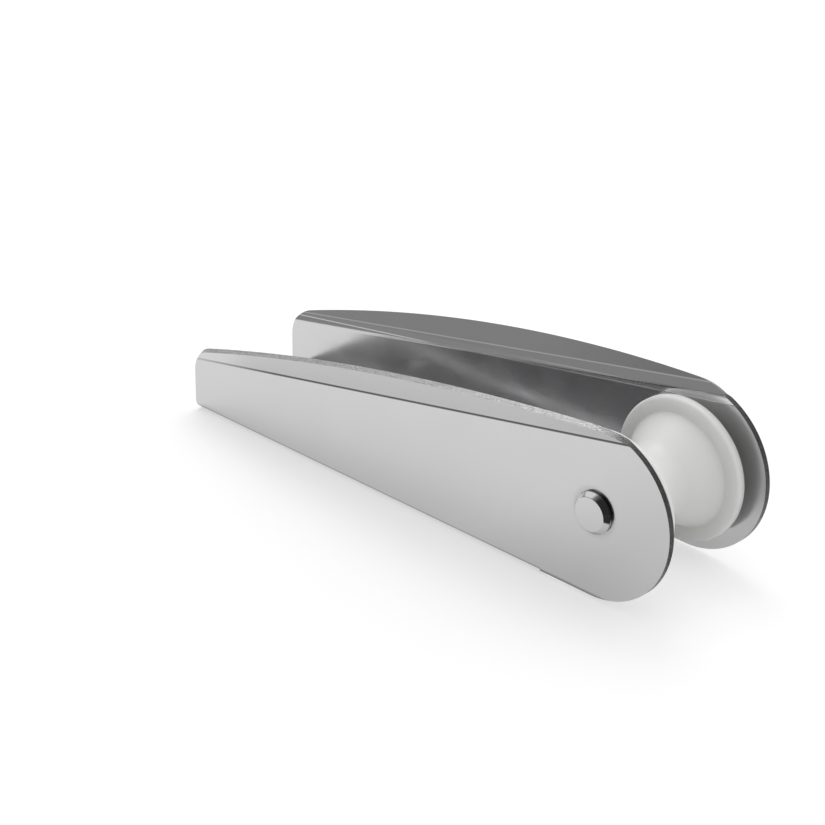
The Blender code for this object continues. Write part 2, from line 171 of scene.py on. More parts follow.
# Noise: scale and detail
SHEET_GRAIN = (900.0, 3.0)
SHEET_GRAIN_STRETCH = (0.06, 1.0, 1.0)
SHEET_CLOUD = (28.0, 4.0)
EDGE_GRAIN = (1500.0, 3.0)
EDGE_SPECKLE = (2400.0, 2.0)
NYLON_LINES = (1400.0, 2.0)
NYLON_GRAIN = (700.0, 2.0)
NYLON_CLOUD = (60.0, 4.0)
STEEL_CLOUD = (300.0, 3.0)
PLASTIC_GRAIN = (900.0, 2.0)

# Colours, and roughness: one plain value, or the smoothest and the roughest place
SHEET_COLOUR = (0.6, 0.6, 0.605)
# Colours of the painted shade and the painted highlights on the sheet
SHEET_PAINTED_SHADE = (0.05, 0.05, 0.055)
SHEET_PAINTED_HIGHLIGHT = (0.95, 0.95, 0.95)
SHEET_PLAIN_ROUGHNESS = 0.2
SHEET_ROUGHNESS = (0.13, 0.22)
EDGE_COLOUR = (0.36, 0.36, 0.36)
EDGE_DARK_BRIGHT = (0.14, 0.66)
EDGE_PLAIN_ROUGHNESS = 0.5
EDGE_ROUGHNESS = (0.38, 0.6)
NYLON_COLOUR = (0.84, 0.84, 0.83)
NYLON_PLAIN_ROUGHNESS = 0.42
NYLON_ROUGHNESS = (0.36, 0.5)
NYLON_LIGHT_DEPTH = 7.0 * MM
BUSH_COLOUR = (0.62, 0.60, 0.54)
THRUST_COLOUR = (0.70, 0.70, 0.68)
PLASTIC_ROUGHNESS = 0.45

# Turned and drawn steel: grey and roughness; the roughness varies between two shares
PIN_STEEL = (0.6, 0.08)
WASHER_STEEL = (0.58, 0.25)
WIRE_STEEL = (0.55, 0.2)
STEEL_SMOOTHEST = 0.8
STEEL_ROUGHEST = 1.3

# Bump: strength and depth
SHEET_GRAIN_BUMP = (0.02, 0.02 * MM)
PRESS_STEP_BUMP = (1.0, 0.12 * MM)
EDGE_BUMP = (0.35, 0.06 * MM)
NYLON_LINES_BUMP = (0.15, 0.03 * MM)
NYLON_GRAIN_BUMP = (0.06, 0.03 * MM)
PLASTIC_BUMP = (0.08, 0.03 * MM)

# Painted shade and painted highlights on the sheet: middle, half width and soft width in millimetres
CREASE_SHADE_LINE = (0.35, 0.4, 0.35)
UPPER_PAINTED_HIGHLIGHT = (5.6, 0.12, 0.25)
BEND_PAINTED_HIGHLIGHT = (2.6, 1.1, 0.4)
FOOT_PAINTED_SHADE = (1.5, 1.1, 1.0)
HEAD_SHADE_RING = (10.5, 0.5, 2.2)
HEAD_SHADE_SHARE = 0.15
FOOT_SHADE_SHARE = 0.55
STEP_TILT = 24.4

# Changes over the sheet: first level, last level, start and end
PRESS_STEP = (1.0, 0.0, 1.05, 1.45)
# The next five set where the painted shade and painted highlights of the sheet and its edge fade
CREASE_SHADE_FADE = (0.25, 0.9, AFT, AFT + 60.0 * MM)
BEND_HIGHLIGHT_FADE = (0.1, 1.0, 0.04, 0.1)
LIP_SHADE_ABOVE = (0.0, 1.0, 5.6, 6.2)
LIP_SHADE_FORWARD = (0.0, 0.22, 0.05, 0.13)
EDGE_NOSE_SHADE = (1.0, 0.65, 0.145, 0.165)


# Small helpers for meshes

def add_piece(name, mesh, body, replaced):
    """A finished piece that rides on a body and stands for one node."""
    piece = bpy.data.objects.new(name, mesh)
    bpy.context.scene.collection.objects.link(piece)
    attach(piece, body)
    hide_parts(replaced)
    return piece


def arc(centre, radius, start, end, step):
    """Points on an arc about a centre, in even steps."""
    count = max(1, math.ceil(abs(end - start) / step - SAME_COUNT))
    points = []
    for index in range(count + 1):
        angle = start + (end - start) * index / count
        points.append((centre[0] + radius * math.cos(angle), centre[1] + radius * math.sin(angle)))
    return points


def shade(mesh):
    """Smooth round surfaces, sharp real edges."""
    mesh.shade_smooth()
    mesh.set_sharp_from_angle(angle=SMOOTH_ANGLE)


def baked_mesh(item, name):
    """The object's mesh with its modifiers applied."""
    bpy.context.view_layer.update()
    graph = bpy.context.evaluated_depsgraph_get()
    mesh = bpy.data.meshes.new_from_object(item.evaluated_get(graph), depsgraph=graph)
    mesh.name = name
    return mesh


def temporary(name, mesh, place=(0, 0, 0)):
    """A helper object that is removed once its shape has been used."""
    item = bpy.data.objects.new(name, mesh)
    bpy.context.scene.collection.objects.link(item)
    item.location = place
    return item


# Channel

def top_arc_centre():
    """Centre of the long top arc, which touches the nose circle and ends at the aft top height."""
    reach = TOP_ARC_RADIUS - NOSE_RADIUS
    dx = AFT - AXLE_X
    dz = AFT_TOP_HEIGHT - AXLE_HEIGHT
    gap = math.hypot(dx, dz)
    along = (reach ** 2 - TOP_ARC_RADIUS ** 2 + gap ** 2) / (2 * gap)
    aside = math.sqrt(reach ** 2 - along ** 2)
    return (AXLE_X + (along * dx - aside * dz) / gap, AXLE_HEIGHT + (along * dz + aside * dx) / gap)


def cheek_outline():
    """Edge of one cheek in the flat sheet, from the relief slit round the nose to the aft edge."""
    low = AXLE_HEIGHT - NOSE_RADIUS
    big = top_arc_centre()
    nose = (AXLE_X, AXLE_HEIGHT)
    tangent = math.atan2(nose[1] - big[1], nose[0] - big[0])
    corner_x = AFT + AFT_CORNER_RADIUS
    corner_reach = TOP_ARC_RADIUS - AFT_CORNER_RADIUS
    corner = (corner_x, big[1] + math.sqrt(corner_reach ** 2 - (corner_x - big[0]) ** 2))
    corner_start = math.atan2(corner[1] - big[1], corner[0] - big[0])
    slit = FLOOR_FRONT + RELIEF_SLIT
    points = [(FLOOR_FRONT, BEND_TOP), (slit, BEND_TOP), (slit, low)]
    points += arc(nose, NOSE_RADIUS, -math.pi / 2, tangent, NOSE_STEP)
    points += arc(big, TOP_ARC_RADIUS, tangent, corner_start, TOP_ARC_STEP)[1:]
    points += arc(corner, AFT_CORNER_RADIUS, corner_start, math.pi, CORNER_STEP)[1:]
    return points


def across_blank(height):
    """Distance from the blank's middle line to a height on the folded cheek."""
    return height - BEND_TOP + FLOOR_HALF_FLAT + FLOOR_BEND_LENGTH


def bend(distance, radius, angle):
    """Turn a distance along the sheet from a bend's start into a step ahead and a step aside."""
    turned = min(distance / radius, angle)
    rest = max(distance - radius * angle, 0.0)
    ahead = radius * math.sin(turned) + rest * math.cos(angle)
    aside = radius * (1 - math.cos(turned)) + rest * math.sin(angle)
    return ahead, aside


def crease_height(x):
    """Height at which the lip starts to lean out."""
    return CREASE_AFT_HEIGHT + (x - AFT) * math.tan(CREASE_SLOPE)


def fold_point(x, v):
    """Place in the folded channel of a point of the flat blank."""
    side = 1.0 if v >= 0 else -1.0
    height = abs(v) - FLOOR_HALF_FLAT - FLOOR_BEND_LENGTH + BEND_TOP
    if x <= FLOOR_FRONT + RELIEF_SLIT / 2 and height < BEND_TOP:
        past = abs(v) - FLOOR_HALF_FLAT
        if past <= 0:
            return Vector((x, v, SHEET / 2))
        ahead, aside = bend(past, FLOOR_MID_RADIUS, math.pi / 2)
        return Vector((x, side * (FLOOR_HALF_FLAT + ahead), SHEET / 2 + aside))
    above = (height - crease_height(x)) * math.cos(CREASE_SLOPE)
    if above <= 0:
        return Vector((x, side * SHEET_MIDDLE, height))
    ahead, aside = bend(above, CREASE_MID_RADIUS, LIP_LEAN)
    lift = ahead - above
    return Vector((
        x - lift * math.sin(CREASE_SLOPE),
        side * (SHEET_MIDDLE + aside),
        height + lift * math.cos(CREASE_SLOPE),
    ))


def cut_line(mesh, point, direction):
    """Cut the flat blank along a straight line, so that it can bend there."""
    normal = Vector((-direction[1], direction[0], 0.0))
    parts = mesh.verts[:] + mesh.edges[:] + mesh.faces[:]
    place = Vector((*point, 0.0))
    bmesh.ops.bisect_plane(mesh, geom=parts, plane_co=place, plane_no=normal, dist=SAME_PLACE)


def folded_sheet():
    """The channel's middle surface: a flat blank, cut at its bends and folded."""
    half = [(x, across_blank(height)) for x, height in cheek_outline()]
    outline = half + [(x, -v) for x, v in reversed(half)]
    mesh = bmesh.new()
    mesh.faces.new([mesh.verts.new((x, v, 0.0)) for x, v in outline])
    for side in (1.0, -1.0):
        for index in range(BEND_STEPS + 1):
            share = index / BEND_STEPS
            foot = side * (FLOOR_HALF_FLAT + FLOOR_BEND_LENGTH * share)
            cut_line(mesh, (0.0, foot), (1.0, 0.0))
            rise = CREASE_BEND_LENGTH * share / math.cos(CREASE_SLOPE)
            start = side * across_blank(CREASE_AFT_HEIGHT + rise)
            cut_line(mesh, (AFT, start), (math.cos(CREASE_SLOPE), side * math.sin(CREASE_SLOPE)))
    for corner in mesh.verts:
        corner.co = fold_point(corner.co.x, corner.co.y)
    bmesh.ops.recalc_face_normals(mesh, faces=mesh.faces)
    data = bpy.data.meshes.new("folded_sheet")
    mesh.to_mesh(data)
    mesh.free()
    return data


def drill(item, radius, length, place, axis, wall):
    """Cut a round hole with a wall material, and return the cutter."""
    mesh = bmesh.new()
    bmesh.ops.create_cone(
        mesh, cap_ends=True, segments=TURN_STEPS, radius1=radius, radius2=radius, depth=length,
        matrix=Vector((0, 0, 1)).rotation_difference(Vector(axis)).to_matrix().to_4x4())
    data = bpy.data.meshes.new("drill")
    mesh.to_mesh(data)
    mesh.free()
    data.materials.append(wall)
    cutter = temporary("drill", data, place)
    step = item.modifiers.new("hole", "BOOLEAN")
    step.operation = "DIFFERENCE"
    step.solver = "EXACT"
    step.material_mode = "TRANSFER"
    step.object = cutter
    return cutter


def build_channel(sheet, edge):
    """The folded sheet with its thickness, softened edges and holes."""
    data = folded_sheet()
    data.materials.append(sheet)
    data.materials.append(edge)
    blank = temporary("blank", data)
    thickness = blank.modifiers.new("thickness", "SOLIDIFY")
    thickness.thickness = SHEET
    thickness.offset = 0.0
    thickness.use_even_offset = True
    thickness.material_offset_rim = 1
    soft = blank.modifiers.new("soft_edges", "BEVEL")
    soft.width = SMALL_EDGE
    soft.segments = EDGE_SEGMENTS
    soft.limit_method = "ANGLE"
    soft.angle_limit = EDGE_ANGLE
    through = 4 * OUTSIDE_HALF
    cutters = [drill(blank, HOLE_RADIUS, through, AXLE, (0, 1, 0), edge)]
    for along in (-BOLT_HALF_ALONG, BOLT_HALF_ALONG):
        for across in (-BOLT_HALF_ACROSS, BOLT_HALF_ACROSS):
            place = (along, across, 0.0)
            cutters.append(drill(blank, BOLT_HOLE_RADIUS, 4 * SHEET, place, (0, 0, 1), edge))
    mesh = baked_mesh(blank, "channel_sheet")
    for item in cutters + [blank]:
        bpy.data.objects.remove(item, do_unlink=True)
    shade(mesh)
    piece = add_piece("channel_sheet", mesh, "frame", "channel")
    weighted = piece.modifiers.new("flat_faces_stay_flat", "WEIGHTED_NORMAL")
    weighted.keep_sharp = True
    weighted.weight = FLAT_FACE_WEIGHT


# Turned pieces

def turned(name, profile, closed, material):
    """Turn a profile of (radius, place along Y) points about the axle."""
    mesh = bmesh.new()
    rings = []
    inner = profile if closed else profile[1:-1]
    for step in range(TURN_STEPS):
        turn = Matrix.Rotation(2 * math.pi * step / TURN_STEPS, 4, "Y")
        ring = [mesh.verts.new(turn @ Vector((radius, along, 0.0))) for radius, along in inner]
        rings.append(ring)
    ends = []
    if not closed:
        ends = [mesh.verts.new((0.0, profile[0][1], 0.0)), mesh.verts.new((0.0, profile[-1][1], 0.0))]
    for step, ring in enumerate(rings):
        following = rings[(step + 1) % TURN_STEPS]
        for index in range(len(ring) if closed else len(ring) - 1):
            after = (index + 1) % len(ring)
            mesh.faces.new((ring[index], ring[after], following[after], following[index]))
        if ends:
            mesh.faces.new((ends[0], ring[0], following[0]))
            mesh.faces.new((ends[1], following[-1], ring[-1]))
    bmesh.ops.remove_doubles(mesh, verts=mesh.verts, dist=SAME_PLACE)
    bmesh.ops.recalc_face_normals(mesh, faces=mesh.faces)
    bmesh.ops.translate(mesh, verts=mesh.verts, vec=AXLE)
    data = bpy.data.meshes.new(name)
    mesh.to_mesh(data)
    mesh.free()
    data.materials.append(material)
    shade(data)
    return data


def softened(points, radius):
    """The same section with its corners rounded; the first and last points stay."""
    result = [points[0]]
    for before, here, after in zip(points, points[1:], points[2:]):
        a = Vector(before) - Vector(here)
        b = Vector(after) - Vector(here)
        room = min(radius, a.length / SHORT_SIDE_PARTS, b.length / SHORT_SIDE_PARTS)
        start = Vector(here) + a.normalized() * room
        end = Vector(here) + b.normalized() * room
        for index in range(SOFT_STEPS + 1):
            t = index / SOFT_STEPS
            result.append(tuple((1 - t) ** 2 * start + 2 * t * (1 - t) * Vector(here) + t ** 2 * end))
    result.append(points[-1])
    return result


def roller_section():
    """Bore, flat end, rounded rim, flange step, cone and saddle."""
    rim_inner = ROLLER_HALF - RIM_WIDTH
    step_along = rim_inner - FLANGE_DRAFT
    quarter = math.pi / 2
    outer_centre = (ROLLER_RADIUS - RIM_OUTER_ROUNDING, ROLLER_HALF - RIM_OUTER_ROUNDING)
    inner_centre = (ROLLER_RADIUS - RIM_INNER_ROUNDING, rim_inner + RIM_INNER_ROUNDING)
    drop = FLANGE_STEP_RADIUS - math.tan(CONE_ANGLE) * step_along - GROOVE_ROOT_RADIUS
    saddle = drop / (1 - math.cos(CONE_ANGLE) - math.tan(CONE_ANGLE) * math.sin(CONE_ANGLE))
    centre = (GROOVE_ROOT_RADIUS + saddle, 0.0)
    half = softened([
        (BORE_RADIUS, 0.0),
        (BORE_RADIUS, ROLLER_HALF - BORE_CHAMFER),
        (BORE_RADIUS + BORE_CHAMFER, ROLLER_HALF),
        (ROLLER_RADIUS - 2 * RIM_OUTER_ROUNDING, ROLLER_HALF),
    ], SMALL_EDGE)
    half += arc(outer_centre, RIM_OUTER_ROUNDING, quarter, 0, SECTION_STEP)
    half += arc(inner_centre, RIM_INNER_ROUNDING, 0, -quarter, SECTION_STEP)
    cone_start = (
        FLANGE_STEP_RADIUS - 2 * STEP_ROUNDING,
        step_along - 2 * STEP_ROUNDING / math.tan(CONE_ANGLE),
    )
    ring = (FLANGE_STEP_RADIUS + 2 * STEP_ROUNDING, step_along + FLANGE_DRAFT / 4)
    half += softened([ring, (FLANGE_STEP_RADIUS, step_along), cone_start], STEP_ROUNDING)
    half += arc(centre, saddle, math.pi - CONE_ANGLE, math.pi, SADDLE_STEP)
    return half[1:] + [(radius, -along) for radius, along in reversed(half[1:-1])]


def build_roller(material):
    """The turned roller."""
    return add_piece("roller_nylon", turned("roller_nylon", roller_section(), True, material),
                     "roller", "roller")


def closed_section(points, side):
    """A softened closed section, mirrored to its side."""
    ring = softened(points + [points[0], points[1]], SMALL_EDGE)[1:-1]
    return [(radius, side * along) for radius, along in ring]


def build_bush(name, side, material):
    """Flanged bush: the sleeve is in the roller's bore, the flange is on its end."""
    inner = HOLE_RADIUS
    face = ROLLER_HALF + FIT
    end = face + BUSH_FLANGE_THICKNESS
    start = ROLLER_HALF - BUSH_LENGTH
    section = closed_section([
        (inner, start),
        (BUSH_RADIUS, start),
        (BUSH_RADIUS, face),
        (BUSH_FLANGE_RADIUS, face),
        (BUSH_FLANGE_RADIUS, end),
        (inner, end),
    ], side)
    return add_piece(name + "_turned", turned(name, section, True, material), "roller", name)


def build_ring(name, outer, start, thickness, side, material):
    """A washer on the axle pin."""
    section = closed_section([
        (HOLE_RADIUS, start),
        (outer, start),
        (outer, start + thickness),
        (HOLE_RADIUS, start + thickness),
    ], side)
    return add_piece(name + "_turned", turned(name, section, True, material), "frame", name)


def build_axle_pin(material):
    """Clevis pin with a smooth chamfered head and a cross hole."""
    seat = -(OUTSIDE_HALF + FIT)
    face = seat - HEAD_HEIGHT
    section = softened([
        (0.0, face),
        (HEAD_RADIUS - HEAD_CHAMFER, face),
        (HEAD_RADIUS, face + HEAD_CHAMFER),
        (HEAD_RADIUS, seat),
        (AXLE_RADIUS, seat),
        (AXLE_RADIUS, PIN_END_Y - PIN_END_CHAMFER),
        (AXLE_RADIUS - PIN_END_CHAMFER, PIN_END_Y),
        (0.0, PIN_END_Y),
    ], SMALL_EDGE)
    blank = temporary("pin_blank", turned("pin_blank", section, False, material))
    place = AXLE + Vector((0.0, CROSS_HOLE_Y, 0.0))
    cutter = drill(blank, CROSS_HOLE_RADIUS, 4 * AXLE_RADIUS, place, (0, 0, 1), material)
    mesh = baked_mesh(blank, "axle_pin_turned")
    for item in (cutter, blank):
        bpy.data.objects.remove(item, do_unlink=True)
    shade(mesh)
    return add_piece("axle_pin_turned", mesh, "frame", "axle_pin")


def split_pin_path():
    """Middle line of half the bent wire, from the end of a leg up to the top of the eye."""
    turn_centre = (WIRE_OFFSET + LEG_BEND_RADIUS, -(AXLE_RADIUS + FIT))
    curl = arc(turn_centre, LEG_BEND_RADIUS, math.pi + LEG_BEND_ANGLE, math.pi, WIRE_STEP)
    tip = (
        curl[0][0] + LEG_END_LENGTH * math.sin(LEG_BEND_ANGLE),
        curl[0][1] - LEG_END_LENGTH * math.cos(LEG_BEND_ANGLE),
    )
    opening = math.asin(WIRE_OFFSET / EYE_RADIUS)
    eye_height = AXLE_RADIUS + FIT + EYE_RADIUS * math.cos(opening) + WIRE_RADIUS
    eye = arc((0.0, eye_height), EYE_RADIUS, opening - math.pi / 2, math.pi / 2, WIRE_STEP)
    return [tip] + curl + eye


def build_split_pin(material):
    """Wire bent double through the cross hole."""
    half = split_pin_path()
    points = half + [(-x, z) for x, z in reversed(half[:-1])]
    curve = bpy.data.curves.new("split_pin_wire", "CURVE")
    curve.dimensions = "3D"
    curve.bevel_depth = WIRE_RADIUS
    curve.bevel_resolution = WIRE_ROUNDNESS
    curve.use_fill_caps = True
    spline = curve.splines.new("POLY")
    spline.points.add(len(points) - 1)
    for point, (x, z) in zip(spline.points, points):
        point.co = (AXLE_X + x, CROSS_HOLE_Y, AXLE_HEIGHT + z, 1.0)
    curve.materials.append(material)
    wire = temporary("wire", curve)
    mesh = baked_mesh(wire, "split_pin_wire")
    bpy.data.objects.remove(wire, do_unlink=True)
    shade(mesh)
    return add_piece("split_pin_wire", mesh, "frame", "split_pin")


# Materials

def material_tree(name, colour, roughness, metallic):
    """A Principled material and its tree."""
    material = bpy.data.materials.new(name)
    material.use_nodes = True
    shader = material.node_tree.nodes["Principled BSDF"]
    shader.inputs["Base Color"].default_value = (*colour, 1.0)
    shader.inputs["Roughness"].default_value = roughness
    shader.inputs["Metallic"].default_value = metallic
    return material, material.node_tree, shader


def node(tree, kind, **values):
    """Add a node; values name its sockets or its properties."""
    made = tree.nodes.new(kind)
    for key, value in values.items():
        if hasattr(made, key):
            setattr(made, key, value)
        else:
            made.inputs[key.replace("_", " ")].default_value = value
    return made


def place_of(tree, scale):
    """Object coordinates, stretched."""
    coordinates = node(tree, "ShaderNodeTexCoord")
    mapping = node(tree, "ShaderNodeMapping")
    mapping.inputs["Scale"].default_value = scale
    tree.links.new(coordinates.outputs["Object"], mapping.inputs["Vector"])
    return mapping.outputs["Vector"]


def noise(tree, scale, detail, stretch=(1, 1, 1)):
    """Noise in object space."""
    made = node(tree, "ShaderNodeTexNoise", Scale=scale, Detail=detail)
    tree.links.new(place_of(tree, stretch), made.inputs["Vector"])
    return made.outputs["Fac"]


def spread(tree, value, low, high, start=0.35, end=0.65):
    """Map a value from one range to another."""
    made = node(tree, "ShaderNodeMapRange")
    made.inputs["From Min"].default_value = start
    made.inputs["From Max"].default_value = end
    made.inputs["To Min"].default_value = low
    made.inputs["To Max"].default_value = high
    tree.links.new(value, made.inputs["Value"])
    return made.outputs["Result"]


def bump(tree, shader, height, strength, distance):
    """Bump from a height, on top of any bump that the shader already has."""
    made = node(tree, "ShaderNodeBump")
    made.inputs["Strength"].default_value = strength
    made.inputs["Distance"].default_value = distance
    tree.links.new(height, made.inputs["Height"])
    for link in shader.inputs["Normal"].links:
        tree.links.new(link.from_socket, made.inputs["Normal"])
    tree.links.new(made.outputs["Normal"], shader.inputs["Normal"])


def maths(tree, operation, first, second=None):
    """A Math node; its inputs are links or numbers."""
    made = node(tree, "ShaderNodeMath", operation=operation)
    for socket, value in zip(made.inputs, (first, second)):
        if value is None:
            continue
        if isinstance(value, (int, float)):
            socket.default_value = value
        else:
            tree.links.new(value, socket)
    return made.outputs[0]


def blend(tree, share, first, second):
    """Mix two colours; each is a link or a plain colour."""
    made = node(tree, "ShaderNodeMix", data_type="RGBA")
    for name, value in (("A", first), ("B", second)):
        if isinstance(value, tuple):
            made.inputs[name].default_value = (*value, 1.0)
        else:
            tree.links.new(value, made.inputs[name])
    tree.links.new(share, made.inputs["Factor"])
    return made.outputs["Result"]


def object_parts(tree):
    """Object coordinates, apart."""
    coordinates = node(tree, "ShaderNodeTexCoord")
    parts = node(tree, "ShaderNodeSeparateXYZ")
    tree.links.new(coordinates.outputs["Object"], parts.inputs[0])
    return parts.outputs


def above_crease(tree, parts):
    """Distance in millimetres above the crease line, square to it."""
    slope = math.tan(CREASE_SLOPE)
    line = maths(tree, "MULTIPLY_ADD", parts["X"], slope)
    line.node.inputs[2].default_value = CREASE_AFT_HEIGHT - AFT * slope
    rise = maths(tree, "SUBTRACT", parts["Z"], line)
    return maths(tree, "MULTIPLY", rise, math.cos(CREASE_SLOPE) / MM)


def from_axle(tree, parts):
    """Distance from the axle's middle line."""
    flat = node(tree, "ShaderNodeCombineXYZ")
    tree.links.new(parts["X"], flat.inputs["X"])
    tree.links.new(parts["Z"], flat.inputs["Z"])
    distance = node(tree, "ShaderNodeVectorMath", operation="DISTANCE")
    distance.inputs[1].default_value = AXLE
    tree.links.new(flat.outputs[0], distance.inputs[0])
    return distance.outputs["Value"]


def stripe(tree, distance, middle, half, soft):
    """1 on a line at a distance, fading to 0 over a soft width."""
    off = maths(tree, "ABSOLUTE", maths(tree, "SUBTRACT", distance, middle))
    return spread(tree, off, 1.0, 0.0, half, half + soft)


def outer_side(tree, parts):
    """1 on the channel's outer faces and 0 on its inner faces."""
    coordinates = node(tree, "ShaderNodeTexCoord")
    normal = node(tree, "ShaderNodeSeparateXYZ")
    tree.links.new(coordinates.outputs["Normal"], normal.inputs[0])
    both = maths(tree, "MULTIPLY", normal.outputs["Y"], parts["Y"])
    return maths(tree, "GREATER_THAN", both, 0.0)


def polished_sheet():
    """Polished stainless sheet: fine grain along it, faint smudges, a step left by the folding tools, and
    painted shade and painted highlights along its crease, lips and foot and round the pin head.
    """
    material, tree, shader = material_tree(
        "polished_sheet", SHEET_COLOUR, SHEET_PLAIN_ROUGHNESS, metallic=1.0)
    grain = noise(tree, *SHEET_GRAIN, SHEET_GRAIN_STRETCH)
    cloud = noise(tree, *SHEET_CLOUD)
    tree.links.new(spread(tree, cloud, *SHEET_ROUGHNESS), shader.inputs["Roughness"])
    bump(tree, shader, grain, *SHEET_GRAIN_BUMP)
    parts = object_parts(tree)
    rise = above_crease(tree, parts)
    outside = outer_side(tree, parts)
    inside = maths(tree, "SUBTRACT", 1.0, outside)
    # Painted shade: a dark line along the crease on the outer faces, fainter toward the aft end
    crease_shade = maths(tree, "MULTIPLY", stripe(tree, rise, *CREASE_SHADE_LINE), outside)
    crease_shade = maths(tree, "MULTIPLY", crease_shade, spread(tree, parts["X"], *CREASE_SHADE_FADE))
    # Painted highlight: a bright line on the inner faces above the crease
    upper_highlight = maths(tree, "MULTIPLY", stripe(tree, rise, *UPPER_PAINTED_HIGHLIGHT), inside)
    tilted = maths(tree, "ADD", rise, maths(tree, "MULTIPLY", parts["X"], STEP_TILT))
    # Painted highlight: a bright band along the lip's bend on the inner faces, fainter toward the aft
    bend_highlight = maths(tree, "MULTIPLY", stripe(tree, tilted, *BEND_PAINTED_HIGHLIGHT), inside)
    bend_highlight = maths(tree, "MULTIPLY", bend_highlight, spread(tree, parts["X"], *BEND_HIGHLIGHT_FADE))
    step = maths(tree, "MULTIPLY", spread(tree, tilted, *PRESS_STEP), inside)
    bump(tree, shader, step, *PRESS_STEP_BUMP)
    # Painted shade: a dark line along the foot of the outer faces
    above_floor = maths(tree, "DIVIDE", parts["Z"], MM)
    foot = maths(tree, "MULTIPLY", stripe(tree, above_floor, *FOOT_PAINTED_SHADE), outside)
    # Painted shade: a faint dark ring round the pin head on the outer faces
    head_shade = stripe(tree, maths(tree, "DIVIDE", from_axle(tree, parts), MM), *HEAD_SHADE_RING)
    head_shade = maths(tree, "MULTIPLY", head_shade, outside)
    # Painted shade: the inner faces of the lips darker toward the nose, above the painted highlight line
    lip_shade = maths(tree, "MULTIPLY", spread(tree, rise, *LIP_SHADE_ABOVE), inside)
    lip_shade = maths(tree, "MULTIPLY", lip_shade, spread(tree, parts["X"], *LIP_SHADE_FORWARD))
    dark = maths(tree, "MAXIMUM", crease_shade, maths(tree, "MULTIPLY", head_shade, HEAD_SHADE_SHARE))
    dark = maths(tree, "MAXIMUM", dark, lip_shade)
    dark = maths(tree, "MAXIMUM", dark, maths(tree, "MULTIPLY", foot, FOOT_SHADE_SHARE))
    # Painted shade darkens the sheet's colour; painted highlights lighten it
    darker = blend(tree, dark, SHEET_COLOUR, SHEET_PAINTED_SHADE)
    lighter = blend(tree, maths(tree, "MAXIMUM", upper_highlight, bend_highlight), darker, SHEET_PAINTED_HIGHLIGHT)
    tree.links.new(lighter, shader.inputs["Base Color"])
    return material


def cut_edge():
    """Ground and speckled edge of the sheet, with painted shade darkening it round the noses."""
    material, tree, shader = material_tree("sheet_edge", EDGE_COLOUR, EDGE_PLAIN_ROUGHNESS, metallic=1.0)
    grain = noise(tree, *EDGE_GRAIN)
    tree.links.new(spread(tree, grain, *EDGE_ROUGHNESS), shader.inputs["Roughness"])
    speckle = spread(tree, noise(tree, *EDGE_SPECKLE), *EDGE_DARK_BRIGHT)
    parts = object_parts(tree)
    # Painted shade: the edge darker round the noses
    speckle = maths(tree, "MULTIPLY", speckle, spread(tree, parts["X"], *EDGE_NOSE_SHADE))
    colour = node(tree, "ShaderNodeCombineColor")
    for channel in ("Red", "Green", "Blue"):
        tree.links.new(speckle, colour.inputs[channel])
    tree.links.new(colour.outputs["Color"], shader.inputs["Base Color"])
    bump(tree, shader, grain, *EDGE_BUMP)
    return material


def white_nylon():
    """White nylon with fine turning lines, which lets a little light into its surface."""
    material, tree, shader = material_tree(
        "white_nylon", NYLON_COLOUR, NYLON_PLAIN_ROUGHNESS, metallic=0.0)
    shader.inputs["Subsurface Weight"].default_value = 1.0
    shader.inputs["Subsurface Radius"].default_value = (1.0, 1.0, 1.0)
    shader.inputs["Subsurface Scale"].default_value = NYLON_LIGHT_DEPTH
    cloud = noise(tree, *NYLON_CLOUD)
    tree.links.new(spread(tree, cloud, *NYLON_ROUGHNESS), shader.inputs["Roughness"])
    parts = object_parts(tree)
    profile = node(tree, "ShaderNodeCombineXYZ")
    tree.links.new(from_axle(tree, parts), profile.inputs["X"])
    tree.links.new(parts["Y"], profile.inputs["Y"])
    scale, detail = NYLON_LINES
    lines = node(tree, "ShaderNodeTexNoise", Scale=scale, Detail=detail)
    tree.links.new(profile.outputs[0], lines.inputs["Vector"])
    bump(tree, shader, lines.outputs["Fac"], *NYLON_LINES_BUMP)
    bump(tree, shader, noise(tree, *NYLON_GRAIN), *NYLON_GRAIN_BUMP)
    return material


def turned_steel(name, grey, roughness):
    """Bright turned or drawn steel."""
    material, tree, shader = material_tree(name, (grey, grey, grey), roughness, metallic=1.0)
    cloud = noise(tree, *STEEL_CLOUD)
    varied = spread(tree, cloud, roughness * STEEL_SMOOTHEST, roughness * STEEL_ROUGHEST)
    tree.links.new(varied, shader.inputs["Roughness"])
    return material


def bearing_plastic(name, colour):
    """Satin bearing plastic."""
    material, tree, shader = material_tree(name, colour, PLASTIC_ROUGHNESS, metallic=0.0)
    bump(tree, shader, noise(tree, *PLASTIC_GRAIN), *PLASTIC_BUMP)
    return material


# Studio

def seen_rays(tree):
    """1 for rays that show the floor itself: seen directly, in gloss or through something clear."""
    rays = node(tree, "ShaderNodeLightPath")
    either = maths(tree, "MAXIMUM", rays.outputs["Is Camera Ray"], rays.outputs["Is Glossy Ray"])
    return maths(tree, "MAXIMUM", either, rays.outputs["Is Transmission Ray"])


def toward(tree, side):
    """How closely the world's direction points to a side: 1 straight at it, 0 square to it."""
    coordinates = node(tree, "ShaderNodeTexCoord")
    product = node(tree, "ShaderNodeVectorMath", operation="DOT_PRODUCT")
    product.inputs[1].default_value = Vector(side).normalized()
    tree.links.new(coordinates.outputs["Generated"], product.inputs[0])
    return product.outputs["Value"]


